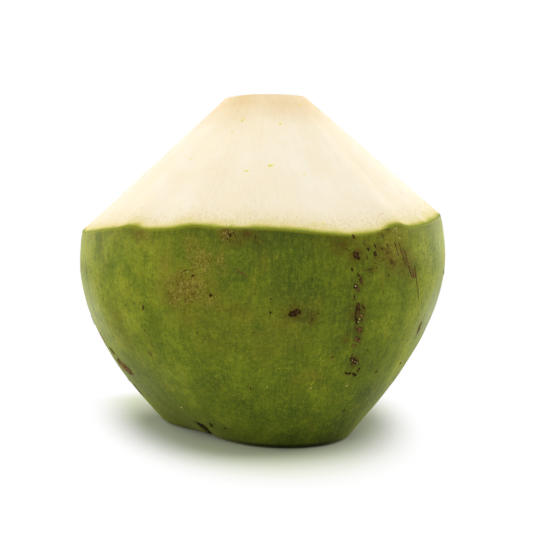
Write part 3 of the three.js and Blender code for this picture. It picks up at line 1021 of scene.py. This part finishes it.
def store_places(mesh, angles, rings):
    """Stores what the finishes and the relief need to know of each point."""

    def per_point(first, values, last):
        return np.r_[first, np.concatenate(values), last]

    def on(region):
        return per_point(0.0, [np.full(len(angles), float(ring.region == region)) for ring in rings], 0.0)

    from_rim = per_point(rings[0].from_rim[0], [ring.from_rim for ring in rings], BEYOND_HUSK)
    along = per_point(0.0, [ring.along for ring in rings], rings[-1].along[0])
    height = per_point(0.0, [ring.points[:, 2] for ring in rings], HEIGHT)
    turn = np.radians(per_point(0.0, [angles] * len(rings), 0.0))
    grain = np.stack([BODY_RADIUS * np.cos(turn), BODY_RADIUS * np.sin(turn), along], axis=1)
    store(mesh, "grain", grain * MM, "FLOAT_VECTOR")
    angle = np.degrees(turn)
    skin, husk = on("skin"), on("husk")
    places = {
        "from_rim": from_rim * MM,
        "skin_share": skin * fade(from_rim, 0, -3) * fade(height, 0, 3),
        "husk_share": husk * fade(from_rim, 1.2, 2) * fade(from_rim, 76, -4),
        "long_fibres": husk * fade(from_rim, 8, 5) * fade(from_rim, 72, -4),
        "rim_husk": husk * fade(from_rim, 13, -10) * (from_rim > 2),
    }
    # The gold and deep attributes hold painted light on the flanks and painted shade near the floor, as well as
    # the skin's own tone.
    fronts = {"scurf": SCURF_ZONES, "haze": HAZE_ZONES + scar_halos(), "deep": DEEP_GREEN_AND_SHADE_ZONES, "gold": GOLD_AND_LIT_FLANK_ZONES}
    for name, zones in fronts.items():
        places[name] = skin * zone_share(zones + far_zones(*FAR_ZONES[name]), angle, height)
    places["flaky"] = fade(places["scurf"], 0.3, 0.7)
    for name, zones in {"tan": TAN_ZONES, "pale": PALE_ZONES}.items():
        places[name] = husk * zone_share(zones, angle, height)
    for name, values in places.items():
        store(mesh, name, values)


def scar_halos():
    """Brown halos of the scars, wider and stronger round the bigger ones; round the crease's dark bits they are
    painted shade too.
    """
    halos = []
    for angle, height, long, wide, _, _ in SCARS_AND_CREASE_SHADE:
        size = (long + wide) / 2
        half = size / 2 + HALO_MARGIN
        halos.append((angle, height, half, half, min(HALO_PER_SIZE * size, STRONGEST_HALO)))
    return halos


def far_zones(seed, count, size):
    """Zones like the front's for the sides and the back, placed at random from a fixed seed."""
    dice = np.random.default_rng(seed)
    zones = []
    for _ in range(count):
        angle, height, width, rise, strength = (dice.uniform(*span) for span in FAR_ZONE_SPANS)
        zones.append((angle, height, size * width, size * rise, strength))
    return zones


def relief_tree():
    """Swells and ribs of the skin, fibres of the husk, and the finish of each region."""
    depths = ("Swelling", "Rib Depth", "Fibre Depth", "Husk Shrink", "Seed")
    finishes = ("Skin", "Husk", "Cut End")
    inputs = {
        "Geometry": (SHAPE, None), **dict.fromkeys(depths, (VALUE, 0.0)),
        **dict.fromkeys(finishes, (MATERIAL, None)),
    }
    w, given, out = new_tree("GeometryNodeTree", "nut_relief", inputs, {"Geometry": SHAPE})

    def wave(place, size, depth):
        centred = w.minus(w.noise(place, 1 / (size * MM), given["Seed"]), 0.5)
        return w.times(centred, 2.0, given[depth])

    place = w.node("GeometryNodeInputPosition").outputs[0]
    along_grain = w.vector("MULTIPLY", w.named("grain", "FLOAT_VECTOR"), (1.0, 1.0, GRAIN_SHORTENING))
    skin = w.plus(wave(place, SWELL_SIZE, "Swelling"), wave(along_grain, RIB_SIZE, "Rib Depth"))
    husk = w.plus(wave(along_grain, FIBRE_SIZE, "Fibre Depth"), wave(place, HUSK_WAVE_SIZE, "Fibre Depth"))
    shrink = w.times(given["Husk Shrink"], w.ramp(w.named("from_rim"), 1.2 * MM, 2.6 * MM))
    husk_share = w.named("husk_share")
    skin_rise = w.times(skin, w.named("skin_share"))
    husk_rise = w.times(w.minus(w.times(husk, husk_share), shrink), w.ramp(husk_share, 0.0, 0.2))
    normal = w.node("GeometryNodeInputNormal").outputs["Normal"]
    moves = {"Geometry": given["Geometry"], "Offset": w.scaled(normal, w.plus(skin_rise, husk_rise))}
    moved = w.node("GeometryNodeSetPosition", moves).outputs[0]
    shape = w.node("GeometryNodeRealizeInstances", {"Geometry": moved}).outputs[0]
    region = w.named("region", "INT")
    for place_in_list, finish in enumerate(finishes):
        feeds = {2: region, 3: place_in_list}
        chosen = w.node("FunctionNodeCompare", feeds, data_type="INT", operation="EQUAL").outputs[0]
        feeds = {"Geometry": shape, "Selection": chosen, "Material": given[finish]}
        shape = w.node("GeometryNodeSetMaterial", feeds).outputs[0]
    w.feed(out["Geometry"], shape)
    return w.tree


# =========================== bits that lie on the nut ===========================


def bits_tree():
    """Small closed bits, placed one by one or scattered, that lie on a surface and follow it."""
    inputs = {
        "Geometry": (SHAPE, None), "Surface": (OBJECT, None), "Material": (MATERIAL, None),
        "Per Area": (VALUE, 0.0), "Zone": (WORDS, "scurf"), "Seed": (WHOLE, 0), "Turn": (VALUE, 0.0),
        "Shortest": (VALUE, MM), "Longest": (VALUE, MM), "Narrowest": (VALUE, MM), "Widest": (VALUE, MM),
        "Sides": (WHOLE, 8), "Thickness": (VALUE, 0.1 * MM), "Sink": (VALUE, 0.05 * MM),
        "Raggedness": (VALUE, 0.0), "Ragged Size": (VALUE, MM),
    }
    w, given, out = new_tree("GeometryNodeTree", "bits_on_a_surface", inputs, {"Geometry": SHAPE})

    def made(kind, feeds, **settings):
        return w.node("GeometryNode" + kind, feeds, **settings).outputs[0]

    def stored(shape, name, value):
        feeds = {"Geometry": shape, "Name": name, "Value": value}
        return made("StoreNamedAttribute", feeds, data_type="FLOAT", domain="POINT")

    def dice(low, high, salt):
        feeds = {2: low, 3: high, "Seed": w.plus(given["Seed"], salt)}
        return w.node("FunctionNodeRandomValue", feeds, data_type="FLOAT").outputs[1]

    def nearest_normal():
        feeds = {"Mesh": surface, "Value": normal, "Sample Position": place}
        return made("SampleNearestSurface", feeds, data_type="FLOAT_VECTOR")

    surface = w.node("GeometryNodeObjectInfo", {"Object": given["Surface"]}).outputs["Geometry"]
    normal = w.node("GeometryNodeInputNormal").outputs["Normal"]
    place = w.node("GeometryNodeInputPosition").outputs[0]

    # Scattered points get random sizes; placed ones bring their own.
    density = w.times(given["Per Area"], w.named(given["Zone"]))
    points = made("DistributePointsOnFaces", {"Mesh": surface, "Density": density, "Seed": given["Seed"]})
    points = stored(points, "bit_length", dice(given["Shortest"], given["Longest"], 1))
    points = stored(points, "bit_width", dice(given["Narrowest"], given["Widest"], 2))
    points = stored(points, "bit_turn", dice(w.times(given["Turn"], -1.0), given["Turn"], 3))
    points = stored(points, "paleness", dice(0.0, 1.0, 4))
    gathered = w.node("GeometryNodeJoinGeometry")
    w.feed(gathered.inputs[0], points)
    w.feed(gathered.inputs[0], made("MeshToPoints", {"Mesh": given["Geometry"]}))

    # Each point carries a flat ball that faces out, with its length up the nut before its turn.
    axes = {"Primary Axis": nearest_normal(), "Secondary Axis": (0.0, 0.0, 1.0)}
    upright = w.node("FunctionNodeAxesToRotation", axes, primary_axis="Z", secondary_axis="Y").outputs[0]
    spin = w.node("FunctionNodeEulerToRotation", {0: w.combine({2: w.named("bit_turn")})}).outputs[0]
    turned = w.node("FunctionNodeRotateRotation", {0: upright, 1: spin}, rotation_space="LOCAL").outputs[0]
    half_width, half_length = (w.times(w.named(size), 0.5) for size in ("bit_width", "bit_length"))
    half_size = w.combine({0: half_width, 1: half_length, 2: 0.01 * MM})
    ball = made("MeshUVSphere", {"Segments": given["Sides"], "Rings": 4, "Radius": 1.0})
    bit = stored(ball, "lift", w.split(place)[2])
    feeds = {"Points": gathered.outputs[0], "Instance": bit, "Rotation": turned, "Scale": half_size}
    shape = made("RealizeInstances", {"Geometry": made("InstanceOnPoints", feeds)})

    # Its outline wanders, and then it is laid on the surface, thickest where the ball was highest.
    frequency = w.over(1.0, given["Ragged Size"])
    wander = w.vector("SUBTRACT", w.noise(place, frequency, 0.0, output="Color"), (0.5, 0.5, 0.5))
    wander = w.scaled(wander, w.times(given["Raggedness"], w.named("bit_width"), 2.0))
    shape = made("SetPosition", {"Geometry": shape, "Offset": wander})
    nearest = made("Proximity", {"Geometry": surface, "Sample Position": place}, target_element="FACES")
    lumps = w.plus(0.6, w.times(w.noise(place, frequency, 3.0), 0.8))
    rise = w.minus(w.times(given["Thickness"], w.named("lift"), lumps), given["Sink"])
    target = w.vector("ADD", nearest, w.scaled(nearest_normal(), rise))
    shape = made("SetPosition", {"Geometry": shape, "Position": target})
    shape = made("SetShadeSmooth", {"Geometry": shape})
    w.feed(out["Geometry"], made("SetMaterial", {"Geometry": shape, "Material": given["Material"]}))
    return w.tree


def placed_points(name, marks, place_of):
    """A mesh of single points, one for each (angle, height, length, width, turn, paleness)."""
    mesh = bpy.data.meshes.new(name)
    angle, height, long, wide, turn, paleness = np.array(marks, float).reshape(-1, 6).T
    mesh.from_pydata(to_frame(place_of(angle, height)).tolist(), [], [])
    store(mesh, "bit_length", long * MM)
    store(mesh, "bit_width", wide * MM)
    store(mesh, "bit_turn", np.radians(turn))
    store(mesh, "paleness", paleness)
    return mesh


def scratch_marks(scratches):
    """Turns scratches given from end to end into marks given by middle, length and turn."""
    marks = []
    for start_angle, start_height, end_angle, end_height, width, paleness in scratches:
        across = BODY_RADIUS * math.radians(end_angle - start_angle)
        up = end_height - start_height
        turn = math.degrees(math.atan2(-across, up))
        middle = ((start_angle + end_angle) / 2, (start_height + end_height) / 2)
        marks.append((*middle, math.hypot(across, up), width, turn, paleness))
    return marks


def crumbled(marks):
    """Breaks each mark into overlapping crumbs, so that its outline comes out ragged."""
    dice = np.random.default_rng(CRUMB_SEED)
    crumbs = []
    for angle, height, long, wide, turn, paleness in marks:
        crumbs.append((angle, height, long, wide, turn, paleness))
        long, wide = long * CRUMB_REACH, wide * CRUMB_REACH
        lean = math.radians(turn)
        count = CRUMBS_PER_AREA * long * wide * (1 - 0.6 * paleness)
        for _ in range(int(np.clip(count, FEWEST_CRUMBS, MOST_CRUMBS))):
            along = dice.uniform(*CRUMB_PLACE)
            side = wide * dice.uniform(*CRUMB_PLACE) * math.sqrt(1 - 4 * along**2)
            along *= long
            across = side * math.cos(lean) - along * math.sin(lean)
            up = along * math.cos(lean) + side * math.sin(lean)
            place = (angle + math.degrees(across / BODY_RADIUS), height + up)
            size = (long * dice.uniform(*CRUMB_LENGTH), wide * dice.uniform(*CRUMB_WIDTH))
            crumb_turn = turn + dice.normal(0, CRUMB_TURN)
            crumbs.append((*place, *size, crumb_turn, paleness * dice.uniform(*CRUMB_PALENESS)))
    return crumbs


def far_marks(count, seed, biggest, palest):
    """Marks like the front's for the sides and the back, in loose clusters, from a fixed seed."""
    dice = np.random.default_rng(seed)
    clusters = range(count // MARKS_PER_CLUSTER)
    centres = [[dice.uniform(*span) for span in CLUSTER_SPANS] for _ in clusters]
    marks = []
    for _ in range(count):
        angle, height = centres[dice.integers(len(centres))]
        size = biggest * dice.uniform(0.2, 1) ** 1.6
        angle += dice.normal(0, CLUSTER_SPREAD)
        height = float(np.clip(height + dice.normal(0, CLUSTER_SPREAD), LOWEST_MARK, HIGHEST_MARK))
        width = size * dice.uniform(0.4, 1.1)
        marks.append((angle, height, size, width, dice.uniform(-90, 90), dice.uniform(0, palest)))
    return marks


def far_flecks():
    """Bits of rind for the sides and the back of the husk, from a fixed seed."""
    dice = np.random.default_rng(FAR_FLECK_SEED)
    return [tuple(dice.uniform(*span) for span in FAR_FLECK_SPANS) for _ in range(FAR_FLECKS)]


def add_bits(name, values, marks=(), place_of=skin_point):
    """A piece of small bits on the nut: those that are listed, and those that are scattered."""
    tree = bpy.data.node_groups.get("bits_on_a_surface") or bits_tree()
    piece = link(bpy.data.objects.new(name, placed_points(name, marks, place_of)))
    add_tree(piece, tree, {"Surface": bpy.data.objects[NUT_PIECE], **values})
    made_plain(piece)
    if not piece.data.polygons:
        raise RuntimeError(f"{name} came out empty")
    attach(piece, NUT_BODY)


# =========================== operators ===========================


class COCONUT_OT_stage(bpy.types.Operator):
    """Sets the camera, the lamps and the white floor"""

    bl_idname = "coconut.stage"
    bl_label = "Stage"

    def execute(self, context):
        scene = context.scene
        stage = scene.coconut_stage
        camera = link(bpy.data.objects.new("camera", bpy.data.cameras.new("camera")))
        camera.data.lens = stage.lens
        camera.data.clip_start = 0.01
        camera.location = (stage.camera_side, -stage.camera_distance, NUT_LOW.z + stage.camera_height)
        camera.rotation_euler = Euler((math.pi / 2 - stage.camera_dip, 0, 0))
        scene.camera = camera
        scene.view_settings.view_transform = "Standard"
        self.light_world(scene)
        for name, (place, size) in LAMPS.items():
            self.add_lamp(f"{name}_lamp", place, size, getattr(stage, name))
        self.add_floor(stage)
        return {"FINISHED"}

    def light_world(self, scene):
        """A white world that only shows behind things, and lights none of them."""
        world = bpy.data.worlds.new("studio")
        world.use_nodes = True
        scene.world = world
        w = Wiring(world.node_tree)
        background = w.tree.nodes["Background"]
        w.feed(background.inputs["Color"], (1, 1, 1, 1))
        w.feed(background.inputs["Strength"], w.seen())

    def add_lamp(self, name, place, size, power):
        """A square lamp that faces the middle of the nut."""
        light = bpy.data.lights.new(name, "AREA")
        light.shape = "SQUARE"
        light.size = size
        light.energy = power
        holder = link(bpy.data.objects.new(name, light))
        holder.location = place
        aim = Vector((0, 0, NUT_LOW.z + LAMP_AIM_HEIGHT))
        holder.rotation_euler = (aim - Vector(place)).to_track_quat("-Z", "Y").to_euler()
        holder.visible_camera = False

    def add_floor(self, stage):
        low = NUT_LOW.z
        ends = ((-1, -1), (1, -1), (1, 1), (-1, 1))
        corners = [(x * FLOOR_REACH, y * FLOOR_REACH, low) for x, y in ends]
        mesh = bpy.data.meshes.new("floor")
        mesh.from_pydata(corners, [], [(0, 1, 2, 3)])
        mesh.materials.append(floor_finish(stage))
        link(bpy.data.objects.new("floor", mesh))


class COCONUT_OT_nut(bpy.types.Operator):
    """Makes the nut itself: skin, pared husk, tip and foot in one closed mesh"""

    bl_idname = "coconut.nut"
    bl_label = "Nut"

    def execute(self, context):
        surface = context.scene.coconut_surface
        colours = context.scene.coconut_colours
        nut = link(bpy.data.objects.new(NUT_PIECE, nut_mesh(surface)))
        add_tree(nut, relief_tree(), {
            "Swelling": surface.swelling, "Rib Depth": surface.rib_depth, "Fibre Depth": surface.fibre_depth,
            "Husk Shrink": surface.husk_shrink, "Seed": float(surface.seed), "Skin": skin_finish(colours),
            "Husk": husk_finish(colours, surface.rind), "Cut End": cut_end_finish(colours, surface.rind),
        })
        made_plain(nut)
        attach(nut, NUT_BODY)
        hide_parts(NUT_NODE)
        return {"FINISHED"}


class COCONUT_OT_fibres(bpy.types.Operator):
    """Lays the fibres of the bare husk, long ones down the cone and cut ends near the rim"""

    bl_idname = "coconut.fibres"
    bl_label = "Husk Fibres"

    def execute(self, context):
        marks = context.scene.coconut_marks
        colours = context.scene.coconut_colours
        seed = context.scene.coconut_surface.seed
        add_bits("husk_fibres", {
            "Per Area": marks.fibres, "Zone": "long_fibres", "Shortest": marks.fibre_length * 0.2,
            "Longest": marks.fibre_length, "Narrowest": marks.fibre_width * 0.4, "Widest": marks.fibre_width,
            "Turn": math.radians(3), "Sides": 8, "Thickness": 0.05 * MM, "Sink": 0.02 * MM,
            "Raggedness": 1.2, "Ragged Size": 9 * MM, "Seed": seed,
            "Material": strand_finish("husk_fibre", colours.thread, colours.pale_husk),
        })
        add_bits("fibre_ends", {
            "Per Area": marks.fibre_ends, "Zone": "rim_husk", "Shortest": 0.5 * MM, "Longest": 2.2 * MM,
            "Narrowest": 0.2 * MM, "Widest": 0.5 * MM, "Turn": math.radians(20), "Sides": 6,
            "Thickness": 0.05 * MM, "Sink": 0.01 * MM, "Raggedness": 0.3, "Ragged Size": 1 * MM,
            "Seed": seed + 1, "Material": strand_finish("fibre_end", colours.young_husk, colours.husk),
        })
        return {"FINISHED"}


class COCONUT_OT_peel(bpy.types.Operator):
    """Lays the small bits of rind that the knife left on the husk"""

    bl_idname = "coconut.peel"
    bl_label = "Bits of Rind"

    def execute(self, context):
        colours = context.scene.coconut_colours
        add_bits("peel_flecks", {
            "Sides": 10, "Thickness": 0.08 * MM, "Sink": 0.02 * MM, "Raggedness": 0.3, "Ragged Size": 0.7 * MM,
            "Material": bit_finish("cut_rind", colours.peel, colours.young_husk, 0.5),
        }, PEEL_FLECKS + far_flecks(), cone_point)
        return {"FINISHED"}


class COCONUT_OT_skin_marks(bpy.types.Operator):
    """Lays the corky scars, scratches, pale nicks, specks and scurf of the skin, the crease's dark bits of
    painted shade, and pale bits of painted glint
    """

    bl_idname = "coconut.skin_marks"
    bl_label = "Marks of the Skin"

    def execute(self, context):
        marks = context.scene.coconut_marks
        colours = context.scene.coconut_colours
        seed = context.scene.coconut_surface.seed
        add_bits("skin_lines", {
            "Sides": 8, "Thickness": 0.06 * MM, "Sink": 0.02 * MM, "Raggedness": 0.9, "Ragged Size": 1.5 * MM,
            "Material": strand_finish("skin_line", colours.scar, colours.umber),
        }, scratch_marks(THIN_LINES))
        # These bits include the crease's dark bits, which are painted shade.
        add_bits("skin_scars", {
            "Sides": 12, "Thickness": marks.scar_height, "Sink": 0.04 * MM, "Raggedness": 0.45,
            "Ragged Size": 0.6 * MM, "Material": bit_finish("skin_scar", colours.scar, colours.cork, 0.7),
        }, crumbled(SCARS_AND_CREASE_SHADE + far_marks(**FAR_SCARS)) + scratch_marks(SCRATCHES))
        add_bits("skin_nicks", {
            "Sides": 8, "Thickness": 0.3 * MM, "Sink": 0.02 * MM, "Raggedness": 0.4, "Ragged Size": 0.6 * MM,
            "Material": bit_finish("skin_nick", colours.gold, colours.tan_husk, 0.55),
        }, NICKS_AND_GLINTS + far_marks(**FAR_NICKS))
        add_bits("skin_scurf", {
            "Per Area": marks.scurf, "Zone": "flaky", "Shortest": marks.scurf_length * 0.25,
            "Longest": marks.scurf_length, "Narrowest": 0.14 * MM, "Widest": 0.34 * MM, "Turn": math.pi / 2,
            "Sides": 6, "Thickness": 0.06 * MM, "Sink": 0.015 * MM, "Raggedness": 1.3, "Ragged Size": 1 * MM,
            "Seed": seed + 2, "Material": strand_finish("skin_scurf", colours.umber, colours.scurf),
        })
        add_bits("skin_specks", {
            "Per Area": marks.specks, "Zone": "skin_share", "Shortest": 0.2 * MM, "Longest": 0.8 * MM,
            "Narrowest": 0.15 * MM, "Widest": 0.5 * MM, "Turn": math.pi / 2, "Sides": 6, "Thickness": 0.06 * MM,
            "Sink": 0.01 * MM, "Raggedness": 0.4, "Ragged Size": 0.5 * MM, "Seed": seed + 3,
            "Material": strand_finish("skin_speck", colours.umber, colours.deep),
        })
        return {"FINISHED"}


class COCONUT_PT_panel(bpy.types.Panel):
    """Lists the steps that make the coconut, and what can be changed"""

    bl_idname = "COCONUT_PT_panel"
    bl_label = "Peeled Coconut"
    bl_space_type = "VIEW_3D"
    bl_region_type = "UI"
    bl_category = "Coconut"

    def draw(self, context):
        layout = self.layout
        for operator in OPERATORS:
            layout.operator(operator.bl_idname)
        for name, group in PROPERTY_GROUPS.items():
            box = layout.box()
            box.label(text=group.__doc__)
            for prop in group.__annotations__:
                box.prop(getattr(context.scene, name), prop)


PROPERTY_GROUPS = {
    "coconut_surface": CoconutSurface, "coconut_colours": CoconutColours,
    "coconut_marks": CoconutMarks, "coconut_stage": CoconutStage,
}
OPERATORS = (COCONUT_OT_stage, COCONUT_OT_nut, COCONUT_OT_fibres, COCONUT_OT_peel, COCONUT_OT_skin_marks)


def register():
    for group in PROPERTY_GROUPS.values():
        bpy.utils.register_class(group)
    for name, group in PROPERTY_GROUPS.items():
        setattr(bpy.types.Scene, name, PointerProperty(type=group))
    for operator in OPERATORS:
        bpy.utils.register_class(operator)
    bpy.utils.register_class(COCONUT_PT_panel)


def unregister():
    bpy.utils.unregister_class(COCONUT_PT_panel)
    for operator in reversed(OPERATORS):
        bpy.utils.unregister_class(operator)
    for name, group in PROPERTY_GROUPS.items():
        delattr(bpy.types.Scene, name)
        bpy.utils.unregister_class(group)


def main():
    """Makes everything in order."""
    register()
    bpy.ops.coconut.stage()
    bpy.ops.coconut.nut()
    bpy.ops.coconut.fibres()
    bpy.ops.coconut.peel()
    bpy.ops.coconut.skin_marks()


if __name__ == "__main__":
    main()
